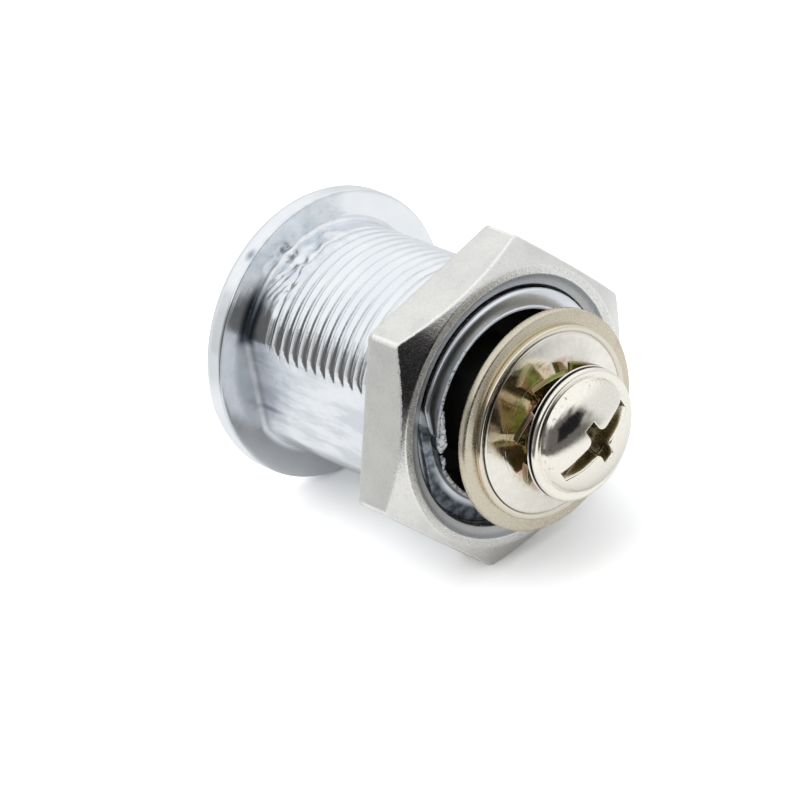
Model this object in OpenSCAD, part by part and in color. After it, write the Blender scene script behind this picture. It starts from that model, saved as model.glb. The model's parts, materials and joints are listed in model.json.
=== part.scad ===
// Drawer cam lock, seen from behind in its own frame.
// The lock's axis is +Y, from the keyed front to the screw. +Z is up.
// The origin is on the axis, in the plane of the flange's seat.

/* [Housing] */
// Diameter of the round flange at the front
flange_d = 22.5; // [21.5:0.5:28]
// Thickness of the flange at its edge
flange_t = 1.4; // [1.2:0.1:3]
// How far the front face stands proud of the flange's edge
front_rise = 0.7; // [0.3:0.1:1.5]
// Width of the rounded border of the front face
front_border = 1.3; // [0.6:0.1:2]
// Length of the barrel behind the flange
barrel_l = 19.6; // [19:0.1:30]
// Diameter over the thread's crests
thread_d = 17.8; // [17.4:0.1:19.2]
// Distance between two thread turns
thread_pitch = 1; // [0.75:0.25:1.5]
// Depth of the thread
thread_depth = 0.35; // [0.25:0.05:0.6]
// Plain length between the seat and the first thread turn
thread_start = 1.6; // [1.5:0.1:5]
// Distance across the two plain flats of the barrel
flats_w = 16; // [15.6:0.1:17]
// Angle of the smooth strip that follows each flat
plain_sweep = 26; // [10:1:35]
// Diameter of the deep recess at the rear
recess_d = 14.7; // [13.8:0.1:15.2]
// Depth of the rear recess
recess_l = 4.5; // [3:0.5:4.5]
// Chamfer round the outside of the rear rim
rim_chamfer = 0.2; // [0.1:0.05:0.5]
// Chamfer round the inside of the rear rim
rim_inner_chamfer = 0.2; // [0.1:0.05:0.4]
// How deep the stop notch is cut into the rear rim
notch_depth = 1.2; // [0.6:0.1:2]
// Angle that the stop notch spans
notch_sweep = 130; // [90:5:160]
// Angle from the side flat down to the middle of the notch
notch_middle = 46; // [30:1:60]

/* [Hex nut] */
// Distance across the nut's flats
nut_af = 22; // [21.5:0.5:27]
// Thickness of the nut
nut_t = 4.1; // [3:0.1:6]
// How far the nut's rear face stays short of the barrel's end
nut_setback = 0.1; // [0:0.1:1]
// Diameter of the chamfered rear face
nut_face_d = 21.2; // [20.5:0.1:21.4]
// Angle of the chamfer to the face
nut_chamfer_angle = 30; // [20:1:35]
// How much the tumbled corners are worn back
nut_corner_round = 0.12; // [0.05:0.01:0.3]
// Diameter of the countersink at the rear face
nut_sink_d = 19.9; // [18.6:0.1:20.4]
// Depth of the countersink
nut_sink_l = 0.45; // [0.3:0.05:1.4]
// How far the nut is turned from the barrel's flats
nut_turn = 13; // [0:1:30]

/* [Plug] */
// Diameter of the plug
plug_d = 12.4; // [12:0.1:12.8]
// Diameter of the plug's head, which shows at the front
plug_head_d = 14.6; // [14:0.1:16]
// Thickness of the plug's head
plug_head_t = 1.2; // [0.8:0.1:1.6]
// Distance across the square tail
tail_w = 7.2; // [6.4:0.1:8]
// Diameter over the tail's rounded corners
tail_d = 9.2; // [8.6:0.1:10]
// How far the tail stands out past the rear rim
tail_stand = 2.7; // [1.5:0.1:4]
// Width of the keyway
keyway_w = 1.9; // [1.6:0.1:2.2]
// Height of the keyway
keyway_h = 7; // [6.4:0.1:7.6]
// Height of the ward that stands into the keyway
ward_h = 1.3; // [0.8:0.1:1.6]
// Distance that the ward stands into the keyway
ward_w = 0.6; // [0.3:0.1:0.8]
// Radial clearance of the plug in the housing
running_gap = 0.05; // [0.03:0.01:0.09]

/* [Tumblers] */
// Width of a tumbler
wafer_w = 5; // [4.6:0.1:5.4]
// Thickness of a tumbler
wafer_t = 1; // [0.8:0.05:1.1]
// Distance between two tumblers
wafer_pitch = 2; // [1.9:0.05:2]
// Distance from the seat to the middle of the first tumbler
wafer_first = 1.5; // [1.2:0.1:1.6]
// How far a tumbler springs out of the plug
wafer_travel = 0.7; // [0.5:0.05:0.8]
// Clearance round a tumbler in its slot
wafer_gap = 0.05; // [0.03:0.01:0.08]
// Width of the key window in a tumbler
window_w = 2.8; // [2.4:0.1:3.2]
// Height of the key window in a tumbler
window_h = 5.2; // [4.8:0.1:5.6]
// Change of window height from one depth of cut to the next
bit_step = 0.3; // [0.2:0.05:0.35]
// Width of the ear that the spring lifts
ear_w = 1.3; // [1.2:0.1:1.5]
// Height of the ear
ear_h = 1; // [0.8:0.1:1.4]
// Outer diameter of a tumbler's spring
spring_d = 1.2; // [1:0.05:1.25]
// Diameter of the spring's wire
spring_wire = 0.22; // [0.16:0.02:0.28]
// Length of a spring when the tumbler is level with the plug
spring_l = 2.4; // [2:0.1:3]
// Number of turns in a spring
spring_turns = 5; // [3:1:6]

/* [Washers] */
// Diameter of the flat washer
flat_washer_d = 16.6; // [15:0.2:20]
// Thickness of the flat washer
flat_washer_t = 0.7; // [0.5:0.1:1.5]
// Diameter of the dished washer
dished_washer_d = 14.5; // [12.5:0.1:15]
// Thickness of the dished washer's sheet
dished_washer_t = 0.5; // [0.3:0.1:0.8]
// How far the dished washer's middle is raised
dish_rise = 0.9; // [0.3:0.1:1.2]
// Outer diameter of the star washer
star_d = 9.9; // [9:0.1:11]
// Thickness of the star washer's sheet
star_t = 0.5; // [0.3:0.05:0.6]
// Diameter of the star washer's plain ring
star_ring_d = 7; // [6.8:0.1:7.8]
// Number of teeth round the star washer
star_teeth = 8; // [6:1:9]
// Width of a tooth at its tip
tooth_w = 2.5; // [1.4:0.1:2.6]
// Angle that each tooth is twisted
tooth_twist = 24; // [10:1:35]
// How far the star washer is turned
star_turn = 16; // [0:1:45]

/* [Screw] */
// Diameter of the screw's thread
screw_d = 5; // [4.5:0.1:5.2]
// Length of the screw under its head
screw_l = 10; // [8:0.5:10.5]
// Clearance hole of the washers round the screw
washer_hole_gap = 0.25; // [0.1:0.05:0.4]
// Diameter of the collar under the head
collar_d = 10; // [9.2:0.1:11]
// Thickness of the collar
collar_t = 0.7; // [0.4:0.1:1]
// Diameter of the head's dome
dome_d = 8.4; // [8:0.1:9]
// Height of the dome above the collar
dome_h = 1.7; // [1.2:0.1:2.4]
// Length of the slot across the head
slot_l = 7.3; // [5.5:0.1:7.6]
// Width of the slot
slot_w = 0.9; // [0.7:0.05:1.2]
// Depth of the slot below the top of the dome
slot_depth = 1.2; // [0.8:0.1:1.4]
// Length of the short arms that make the slot a cross
cross_l = 3.5; // [3:0.1:4.4]
// Width of the short arms
cross_w = 1.15; // [0.8:0.05:1.4]
// Depth of the cross below the top of the dome
cross_depth = 1.9; // [1.4:0.1:2.2]
// Diameter of the hollow in the middle of the cross
cross_core_d = 2; // [1.2:0.1:2.6]
// Angle of the slot from the side of the lock
slot_turn = 22; // [0:1:180]

/* [Hidden] */

$fn = 96;
cut = 0.5;                                     // how far a cutter runs past what it cuts
key_cuts = [2, 4, 1, 3, 1, 4];                 // depth of the key's cut under each tumbler
middle_cut = 2.5;                              // depth at which a window is centred

front_z = -flange_t - front_rise;
thread_r = thread_d / 2;
bore_r = plug_d / 2 + running_gap;
recess_z = barrel_l - recess_l;
groove_gap = 0.15;                             // room over a tumbler that is sprung out
groove_r = plug_d / 2 + wafer_travel + groove_gap;
groove_w = wafer_w + 0.6;
groove_z = wafer_first - wafer_t / 2 - wafer_gap - 0.3;
nut_back_z = barrel_l - nut_setback;
nut_front_z = nut_back_z - nut_t;
nut_bore_r = thread_r + running_gap;
nut_front_chamfer = 0.3;
retainer_z = wafer_first + len(key_cuts) * wafer_pitch;
retainer_out = wafer_travel - 0.1;             // how far the retainer stands out at rest
tail_z = barrel_l + tail_stand;
key_z = retainer_z - wafer_t / 2 - wafer_gap;
ear_x = wafer_w / 2 + ear_w / 2;
spring_hole_r = spring_d / 2 + 0.08;
flat_z = tail_z;
dished_z = flat_z + flat_washer_t;
star_z = dished_z + dish_rise + dished_washer_t;
tooth_h = tooth_w * sin(tooth_twist) + star_t * cos(tooth_twist);
head_z = star_z + tooth_h;
screw_tip_z = head_z - screw_l;
screw_fit = 0.05;                              // clearance of the screw in the tail
screw_well = 0.4;                              // room past the screw's tip
washer_hole_r = screw_d / 2 + washer_hole_gap;

// Turn what is drawn along +Z so that it lies along the lock's own +Y axis
module lay() rotate([-90, 0, 0]) children();

// Points on a quarter ellipse from [r0, z0] on the outside to [r1, z1] nearer the axis
function quarter(r0, z0, r1, z1, steps = 6) =
    [for (i = [0:steps]) let (a = 90 * i / steps)
        [r1 + (r0 - r1) * cos(a), z0 + (z1 - z0) * sin(a)]];

// A box that is centred across and starts at height z
module bar(x, y, z, h) translate([-x / 2, -y / 2, z]) cube([x, y, h]);

// Outline of half of the barrel's thread: crests and roots, shallower on the first turns
thread_turns = floor((barrel_l - rim_chamfer - thread_start) / thread_pitch);
function turn_depth(k) = thread_depth * min(1, (k + 1) / 4);
thread_outline = [for (k = [0:thread_turns - 1]) each [
    [thread_r, thread_start + k * thread_pitch],
    [thread_r - turn_depth(k), thread_start + (k + 0.5) * thread_pitch]]];

module housing_blank() {
    front_edge_r = flange_d / 2;
    front_face_r = front_edge_r - front_border;
    last_crest = thread_start + thread_turns * thread_pitch;
    rotate_extrude() polygon(concat(
        [[0, front_z], [front_face_r, front_z]],
        [for (i = [5:-1:0]) quarter(front_edge_r, -flange_t, front_face_r, front_z)[i]],
        [[front_edge_r, 0], [thread_r, 0]],
        thread_outline,
        [[thread_r, last_crest], [thread_r, barrel_l - rim_chamfer],
         [thread_r - rim_chamfer, barrel_l], [0, barrel_l]]));
}

// A slice of a round bar of radius r, from one angle over a sweep
module slice(r, from, sweep, z, h) translate([0, 0, z]) intersection() {
    cylinder(h = h, r = r);
    linear_extrude(h) polygon(concat([[0, 0]],
        [for (i = [0:3]) let (a = from + sweep * i / 3) 2 * r * [cos(a), sin(a)]]));
}

module housing() color("lightsteelblue") lay() difference() {
    union() {
        housing_blank();
        // smooth strip from the middle of each flat, where the casting has no thread
        flat_edge = acos(flats_w / thread_d);
        for (side = [0, 180]) slice(thread_r - 0.02, side, flat_edge + plain_sweep, -flange_t / 2,
            barrel_l + flange_t / 2 - rim_chamfer - 0.1);
    }
    // plain flats on both sides of the barrel
    for (side = [-1, 1]) translate([side * (flats_w + flange_d) / 2, 0, 0])
        bar(flange_d, flange_d, 0, barrel_l + cut);
    // bore and head seat of the plug
    translate([0, 0, front_z - cut]) cylinder(h = barrel_l + cut - front_z, r = bore_r);
    translate([0, 0, front_z - cut])
        cylinder(h = plug_head_t + running_gap + cut, r = plug_head_d / 2 + running_gap);
    // rear recess with its small chamfer
    translate([0, 0, recess_z]) cylinder(h = recess_l + cut, r = recess_d / 2);
    translate([0, 0, barrel_l - rim_inner_chamfer])
        cylinder(h = rim_inner_chamfer + 0.01, r1 = recess_d / 2, r2 = recess_d / 2 + rim_inner_chamfer);
    // four grooves that the tumblers spring into, crossed by the retainer's ring groove
    for (turn = [0, 90]) rotate([0, 0, turn]) bar(groove_w, 2 * groove_r, groove_z, recess_z - groove_z + 0.01);
    translate([0, 0, retainer_z - wafer_t / 2 - groove_gap])
        cylinder(h = wafer_t + 2 * groove_gap, r = groove_r);
    // stop notch in the rear rim
    slice(flange_d, notch_middle - notch_sweep / 2, notch_sweep, barrel_l - notch_depth, notch_depth + cut);
}

module hex_nut() color("tan") lay() rotate([0, 0, nut_turn]) difference() {
    corner_r = nut_af / 2 / cos(30);
    intersection() {
        translate([0, 0, nut_front_z]) cylinder(h = nut_t, r = corner_r, $fn = 6);
        translate([0, 0, nut_front_z]) cylinder(h = nut_t, r = corner_r - nut_corner_round);
        translate([0, 0, nut_front_z])
            cylinder(h = nut_t, r1 = nut_face_d / 2 + nut_t / tan(nut_chamfer_angle), r2 = nut_face_d / 2);
    }
    translate([0, 0, nut_front_z - cut]) cylinder(h = nut_t + 2 * cut, r = nut_bore_r);
    translate([0, 0, nut_back_z - nut_sink_l])
        cylinder(h = nut_sink_l + 0.01, r1 = nut_bore_r, r2 = nut_sink_d / 2);
    translate([0, 0, nut_front_z - 0.01])
        cylinder(h = nut_front_chamfer, r1 = nut_bore_r + nut_front_chamfer, r2 = nut_bore_r);
}

// Room in the plug for one tumbler, its ear and its spring
module wafer_room(z, out = 0) {
    slot_h = plug_d + 2 * cut;
    bar(wafer_w + 2 * wafer_gap, slot_h, z - wafer_t / 2 - wafer_gap, wafer_t + 2 * wafer_gap);
    ear_low = -out - ear_h / 2 - wafer_travel - wafer_gap;
    translate([0, ear_low, z - wafer_t / 2 - wafer_gap])
        cube([wafer_w / 2 + ear_w + wafer_gap, ear_h + wafer_travel + 2 * wafer_gap + out,
              wafer_t + 2 * wafer_gap]);
    translate([ear_x, ear_low, z]) rotate([-90, 0, 0])
        cylinder(h = ear_h / 2 + spring_l - ear_low, r = spring_hole_r, $fn = 32);
}

module keyway() {
    translate([0, 0, front_z - cut]) difference() {
        bar(keyway_w, keyway_h, 0, key_z - front_z + cut);
        // two wards, one on each side at different heights
        translate([keyway_w / 2 - ward_w, ward_h / 2, -cut]) cube([keyway_w, ward_h, barrel_l + 2 * cut]);
        translate([-keyway_w * 1.5 + ward_w, -1.5 * ward_h, -cut]) cube([keyway_w, ward_h, barrel_l + 2 * cut]);
    }
}

module plug() color("gainsboro") lay() difference() {
    union() {
        translate([0, 0, front_z]) cylinder(h = plug_head_t, r = plug_head_d / 2);
        translate([0, 0, front_z]) cylinder(h = recess_z - front_z, r = plug_d / 2);
        intersection() {
            bar(tail_w, tail_w, recess_z - cut, tail_z - recess_z + cut);
            translate([0, 0, recess_z - cut]) cylinder(h = tail_z - recess_z + cut, r = tail_d / 2);
        }
    }
    keyway();
    for (i = [0:len(key_cuts) - 1]) wafer_room(wafer_first + i * wafer_pitch);
    wafer_room(retainer_z, retainer_out);
    translate([0, 0, screw_tip_z - screw_well]) cylinder(h = screw_l + cut, r = screw_d / 2 + screw_fit);
}

// One flat tumbler at height z. The window is moved up or down with the depth of the key's cut
module wafer_plate(z, window_shift) {
    translate([0, 0, z - wafer_t / 2]) linear_extrude(wafer_t) difference() {
        union() {
            intersection() {
                circle(d = plug_d);
                square([wafer_w, plug_d], center = true);
            }
            translate([0, -ear_h / 2]) square([wafer_w / 2 + ear_w, ear_h]);
        }
        translate([0, window_shift]) square([window_w, window_h], center = true);
    }
}

module wafer(i) color("goldenrod") lay()
    wafer_plate(wafer_first + i * wafer_pitch, (key_cuts[i] - middle_cut) * bit_step);

// The retainer has no key window: only a shallow step where a pick can push it in
module retainer() color("darkkhaki") lay() translate([0, -retainer_out, 0])
    translate([0, 0, retainer_z - wafer_t / 2]) linear_extrude(wafer_t) difference() {
        union() {
            intersection() {
                circle(d = plug_d);
                square([wafer_w, plug_d], center = true);
            }
            translate([0, -ear_h / 2]) square([wafer_w / 2 + ear_w, ear_h]);
        }
        translate([-wafer_w / 2, plug_d / 2 - retainer_out]) square([wafer_w, plug_d / 4]);
    }

// A coil spring along +Z from z = 0, as one swept tube of round wire
module coil(d, wire, l, turns) {
    sides = 6;
    steps = 12;
    path_r = (d - wire) / 2;
    rise = l - wire;
    rings = turns * steps;
    points = [for (k = [0:rings]) let (a = 360 * k / steps, z = wire / 2 + rise * k / rings)
        for (j = [0:sides - 1]) let (b = 360 * j / sides, r = path_r + wire / 2 * cos(b))
            [r * cos(a), r * sin(a), z + wire / 2 * sin(b)]];
    skin = [for (k = [0:rings - 1], j = [0:sides - 1]) let (n = (j + 1) % sides)
        [k * sides + j, (k + 1) * sides + j, (k + 1) * sides + n, k * sides + n]];
    ends = [[for (j = [0:sides - 1]) j], [for (j = [sides - 1:-1:0]) rings * sides + j]];
    polyhedron(points, concat(skin, ends));
}

// A spring stands under its tumbler's ear, along the way that the tumbler slides
module ear_spring(z, ear_low, l) color("silver") lay()
    translate([ear_x, ear_low + l, z]) rotate([90, 0, 0]) coil(spring_d, spring_wire, l, spring_turns);

module wafer_spring(i) ear_spring(wafer_first + i * wafer_pitch, ear_h / 2, spring_l);
module retainer_spring() ear_spring(retainer_z, ear_h / 2 - retainer_out, spring_l + retainer_out);

module flat_washer() color("wheat") lay() translate([0, 0, flat_z]) difference() {
    edge = flat_washer_t / 4;
    rotate_extrude() polygon([[0, 0], [flat_washer_d / 2 - edge, 0], [flat_washer_d / 2, edge],
        [flat_washer_d / 2, flat_washer_t - edge], [flat_washer_d / 2 - edge, flat_washer_t],
        [0, flat_washer_t]]);
    translate([0, 0, -cut]) cylinder(h = flat_washer_t + 2 * cut, r = washer_hole_r);
}

// Height of the dished washer's lower side at radius r: level, then a smooth fall, then a level rim
dish_top_r = star_ring_d / 2 - 0.3;
dish_foot_r = dished_washer_d / 2 - 0.5;
function dish(r) = let (u = min(1, max(0, (r - dish_top_r) / (dish_foot_r - dish_top_r))))
    dish_rise * (1 + cos(180 * u)) / 2;

module dished_washer() color("ghostwhite") lay() translate([0, 0, dished_z]) {
    steps = 10;
    outer_r = dished_washer_d / 2;
    edge = dished_washer_t / 4;
    radii = [for (i = [0:steps]) dish_top_r + (dish_foot_r - dish_top_r) * i / steps];
    rotate_extrude() polygon(concat(
        [[washer_hole_r, dish_rise]],
        [for (r = radii) [r, dish(r)]],
        [[outer_r - edge, 0], [outer_r, edge], [outer_r, dished_washer_t - edge],
         [outer_r - edge, dished_washer_t]],
        [for (i = [steps:-1:0]) [radii[i], dish(radii[i]) + dished_washer_t]],
        [[washer_hole_r, dish_rise + dished_washer_t]]));
}

module star_washer() color("darkkhaki") lay() translate([0, 0, star_z + tooth_h / 2]) {
    root_w = tooth_w * 0.6;
    difference() {
        union() {
            translate([0, 0, -star_t / 2]) cylinder(h = star_t, d = star_ring_d);
            for (k = [0:star_teeth - 1]) rotate([0, 0, star_turn + 360 * k / star_teeth])
                rotate([-tooth_twist, 0, 0]) translate([0, 0, -star_t / 2]) linear_extrude(star_t)
                    polygon([[washer_hole_r + 0.2, -root_w / 2], [star_d / 2, -tooth_w / 2],
                             [star_d / 2, tooth_w / 2], [washer_hole_r + 0.2, root_w / 2]]);
        }
        translate([0, 0, -tooth_h]) cylinder(h = 2 * tooth_h, r = washer_hole_r);
    }
}

module screw() color("whitesmoke") lay() difference() {
    top_z = head_z + collar_t + dome_h;
    edge = collar_t / 3;
    point = screw_d / 6;
    rotate_extrude() polygon(concat(
        [[0, screw_tip_z], [screw_d / 2 - point, screw_tip_z], [screw_d / 2, screw_tip_z + point],
         [screw_d / 2, head_z], [collar_d / 2 - edge, head_z], [collar_d / 2, head_z + edge],
         [collar_d / 2, head_z + collar_t - edge], [collar_d / 2 - edge, head_z + collar_t]],
        quarter(dome_d / 2, head_z + collar_t, 0, top_z, 12)));
    rotate([0, 0, slot_turn]) {
        bar(slot_l, slot_w, top_z - slot_depth, slot_depth + cut);
        bar(cross_l, cross_w, top_z - cross_depth, cross_depth + cut);
        bar(cross_w, cross_l, top_z - cross_depth, cross_depth + cut);
    }
    core_r = cross_core_d / 2;
    translate([0, 0, top_z - cross_depth]) cylinder(h = cross_depth + cut, r1 = core_r * 0.7, r2 = core_r);
}

housing();
hex_nut();
plug();
for (i = [0:len(key_cuts) - 1]) {
    wafer(i);
    wafer_spring(i);
}
retainer();
retainer_spring();
flat_washer();
dished_washer();
star_washer();
screw();
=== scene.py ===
import json
import math
import bmesh
import bpy
from mathutils import Matrix, Vector, noise


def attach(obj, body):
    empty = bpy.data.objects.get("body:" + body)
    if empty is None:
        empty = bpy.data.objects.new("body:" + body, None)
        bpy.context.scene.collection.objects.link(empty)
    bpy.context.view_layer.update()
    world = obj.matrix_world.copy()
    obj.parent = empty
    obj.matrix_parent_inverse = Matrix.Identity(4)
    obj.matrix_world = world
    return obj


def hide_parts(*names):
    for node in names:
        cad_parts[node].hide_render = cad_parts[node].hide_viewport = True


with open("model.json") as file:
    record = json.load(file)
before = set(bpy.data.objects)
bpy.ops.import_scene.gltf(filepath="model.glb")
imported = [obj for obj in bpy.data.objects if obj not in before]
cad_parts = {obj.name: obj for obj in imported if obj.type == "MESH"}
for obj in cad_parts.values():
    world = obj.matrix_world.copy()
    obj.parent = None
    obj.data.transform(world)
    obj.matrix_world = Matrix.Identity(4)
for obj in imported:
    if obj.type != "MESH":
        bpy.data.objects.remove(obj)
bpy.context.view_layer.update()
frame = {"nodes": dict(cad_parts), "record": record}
print("frame loaded")

# Everything is drawn in millimetres and scaled to metres once, in finishMesh
mm = 0.001
fullTurn = 2 * math.pi
perTurn = 360


# Small helpers for meshes

def smoothStep(low, high, value):
    t = min(1.0, max(0.0, (value - low) / (high - low)))
    return t * t * (3 - 2 * t)


def spanStep(value, span):
    # 1 between the two inner limits of a span, falling to 0 at the outer ones
    low, lowFull, highFull, high = span
    return smoothStep(low, lowFull, value) * smoothStep(high, highFull, value)


def rowAngle(co):
    # degrees from +X towards +Z, as the lock is seen along its axis
    return math.degrees(math.atan2(co.z, co.x))


def radius(co):
    return math.hypot(co.x, co.z)


def atAngle(deg, r, y):
    a = math.radians(deg)
    return Vector((r * math.cos(a), y, r * math.sin(a)))


def softMin(a, b, blend):
    h = max(0.0, blend - abs(a - b)) / blend
    return min(a, b) - h * h * blend / 4


def between(stops, value):
    # straight lines through (value, number, number ...) stops that run upwards or downwards
    for low, high in zip(stops, stops[1:]):
        if min(low[0], high[0]) <= value <= max(low[0], high[0]):
            t = (value - low[0]) / (high[0] - low[0])
            return [a + (b - a) * t for a, b in zip(low[1:], high[1:])]
    return list(stops[0][1:] if abs(value - stops[0][0]) < abs(value - stops[-1][0]) else stops[-1][1:])


def arc(centerR, centerY, rad, fromDeg, toDeg, steps):
    # points of a rounded edge: 0 degrees points away from the axis, 90 along it
    points = []
    for i in range(steps + 1):
        a = math.radians(fromDeg + (toDeg - fromDeg) * i / steps)
        points.append((centerR + rad * math.cos(a), centerY + rad * math.sin(a)))
    return points


def spinOutline(bm, outline, steps, closed=True):
    # turn an outline of (radius, along) points once round the lock's axis
    verts = [bm.verts.new((r, y, 0)) for r, y in outline]
    edges = [bm.edges.new(pair) for pair in zip(verts, verts[1:])]
    if closed:
        edges.append(bm.edges.new((verts[-1], verts[0])))
    bmesh.ops.spin(bm, geom=verts + edges, cent=(0, 0, 0), axis=(0, 1, 0), angle=fullTurn,
                   steps=steps, use_merge=True)
    bmesh.ops.remove_doubles(bm, verts=bm.verts[:], dist=1e-5)
    bmesh.ops.recalc_face_normals(bm, faces=bm.faces[:])


def softenEdges(bm, edges, width, segments=2):
    return bmesh.ops.bevel(bm, geom=edges, offset=width, offset_type="OFFSET", segments=segments, profile=0.5,
                           affect="EDGES", clamp_overlap=True, material=-1)["faces"]


def finishMesh(bm, name, finishList, body, node=None, sharpDeg=32.0):
    bmesh.ops.scale(bm, vec=(mm, mm, mm), verts=bm.verts[:])
    mesh = bpy.data.meshes.new(name)
    bm.to_mesh(mesh)
    bm.free()
    mesh.shade_smooth()
    mesh.set_sharp_from_angle(angle=math.radians(sharpDeg))
    piece = bpy.data.objects.new(name, mesh)
    bpy.context.scene.collection.objects.link(piece)
    for finish in finishList:
        mesh.materials.append(finish)
    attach(piece, body)
    if node:
        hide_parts(node)
    return piece


# Materials: a socket that takes part in arithmetic, and one method for every other node

class Signal:
    def __init__(self, graph, socket):
        self.graph = graph
        self.socket = socket

    def calc(self, operation, *values):
        return self.graph.add("ShaderNodeMath", {"operation": operation}, dict(enumerate(values)))

    def __add__(self, other): return self.calc("ADD", self, other)
    def __radd__(self, other): return self.calc("ADD", other, self)
    def __sub__(self, other): return self.calc("SUBTRACT", self, other)
    def __rsub__(self, other): return self.calc("SUBTRACT", other, self)
    def __mul__(self, other): return self.calc("MULTIPLY", self, other)
    def __rmul__(self, other): return self.calc("MULTIPLY", other, self)
    def __truediv__(self, other): return self.calc("DIVIDE", self, other)
    def __pow__(self, other): return self.calc("POWER", self, other)
    def __abs__(self): return self.calc("ABSOLUTE", self)

    def ramp(self, low, high, fromValue=0.0, toValue=1.0):
        # a clamped, smooth change between two limits
        return self.graph.add("ShaderNodeMapRange", {"interpolation_type": "SMOOTHSTEP"},
                              {"Value": self, "From Min": low, "From Max": high,
                               "To Min": fromValue, "To Max": toValue})


class Graph:
    def __init__(self, tree):
        self.tree = tree

    def add(self, kind, settings, values, output=0):
        node = self.tree.nodes.new(kind)
        for key, value in settings.items():
            setattr(node, key, value)
        for key, value in values.items():
            if isinstance(value, Signal):
                self.tree.links.new(value.socket, node.inputs[key])
            else:
                node.inputs[key].default_value = value
        return Signal(self, node.outputs[output]) if node.outputs else None

    def split(self, vector):
        return [self.add("ShaderNodeSeparateXYZ", {}, {"Vector": vector}, axis) for axis in "XYZ"]

    def degrees(self, operation, *values):
        # the angle that an inverse function of Math gives
        turned = self.add("ShaderNodeMath", {"operation": operation}, dict(enumerate(values)))
        return turned * (perTurn / fullTurn)

    def mix(self, factor, colorA, colorB):
        # sockets 0, 6 and 7 are the factor and the two colours of a Mix node, output 2 its colour
        return self.add("ShaderNodeMix", {"data_type": "RGBA"}, {0: factor, 6: colorA, 7: colorB}, 2)

    def blend(self, factor, shaderA, shaderB):
        return self.add("ShaderNodeMixShader", {}, {0: factor, 1: shaderA, 2: shaderB})


class Finish(Graph):
    def __init__(self, name):
        self.material = bpy.data.materials.new(name)
        self.material.use_nodes = True
        super().__init__(self.material.node_tree)
        self.shader = self.tree.nodes["Principled BSDF"]
        place = self.add("ShaderNodeTexCoord", {}, {}, "Object")
        self.place = self.add("ShaderNodeVectorMath", {"operation": "SCALE"},
                              {"Vector": place, "Scale": 1 / mm})
        self.x, self.y, self.z = self.split(self.place)
        self.radius = (self.x * self.x + self.z * self.z) ** 0.5

    def noise(self, scale, detail=3.0, roughness=0.55, where=None):
        return self.add("ShaderNodeTexNoise", {}, {"Vector": where or self.place, "Scale": scale,
                                                   "Detail": detail, "Roughness": roughness}, "Fac")

    def stretched(self, scale, detail, size):
        # noise that is drawn out along an axis: a small number in size is a long grain
        where = self.add("ShaderNodeVectorMath", {"operation": "MULTIPLY"}, {0: self.place, 1: size})
        return self.noise(scale, detail, 0.6, where)

    def rings(self, scale, detail=2.0):
        # fine turning marks round the lock's axis
        spot = self.add("ShaderNodeCombineXYZ", {}, {"X": self.radius * scale, "Y": self.y * scale, "Z": 0.0})
        return self.noise(1.0, detail, 0.6, spot)

    def angle(self):
        # degrees round the lock's axis, from +X towards +Z
        return self.degrees("ARCTAN2", self.z, self.x)

    def spot(self, place, reach, stretch=(1.0, 1.0, 1.0)):
        # 1 at a place on the piece, falling to 0 at its reach
        away = self.add("ShaderNodeVectorMath", {"operation": "SUBTRACT"}, {0: self.place, 1: place})
        away = self.add("ShaderNodeVectorMath", {"operation": "MULTIPLY"}, {0: away, 1: stretch})
        return self.add("ShaderNodeVectorMath", {"operation": "LENGTH"}, {0: away}, "Value").ramp(reach, 0.0)

    def bump(self, height, distance, strength=1.0, onTop=None):
        values = {"Height": height, "Distance": distance * mm, "Strength": strength}
        if onTop:
            values["Normal"] = onTop
        return self.add("ShaderNodeBump", {}, values)

    def done(self, **values):
        names = {"color": "Base Color", "roughness": "Roughness", "metallic": "Metallic", "normal": "Normal"}
        for key, value in values.items():
            socket = self.shader.inputs[names[key]]
            if isinstance(value, Signal):
                self.tree.links.new(value.socket, socket)
            else:
                socket.default_value = value
        return self.material


def tone(red, green, blue):
    return (red, green, blue, 1.0)


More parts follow.
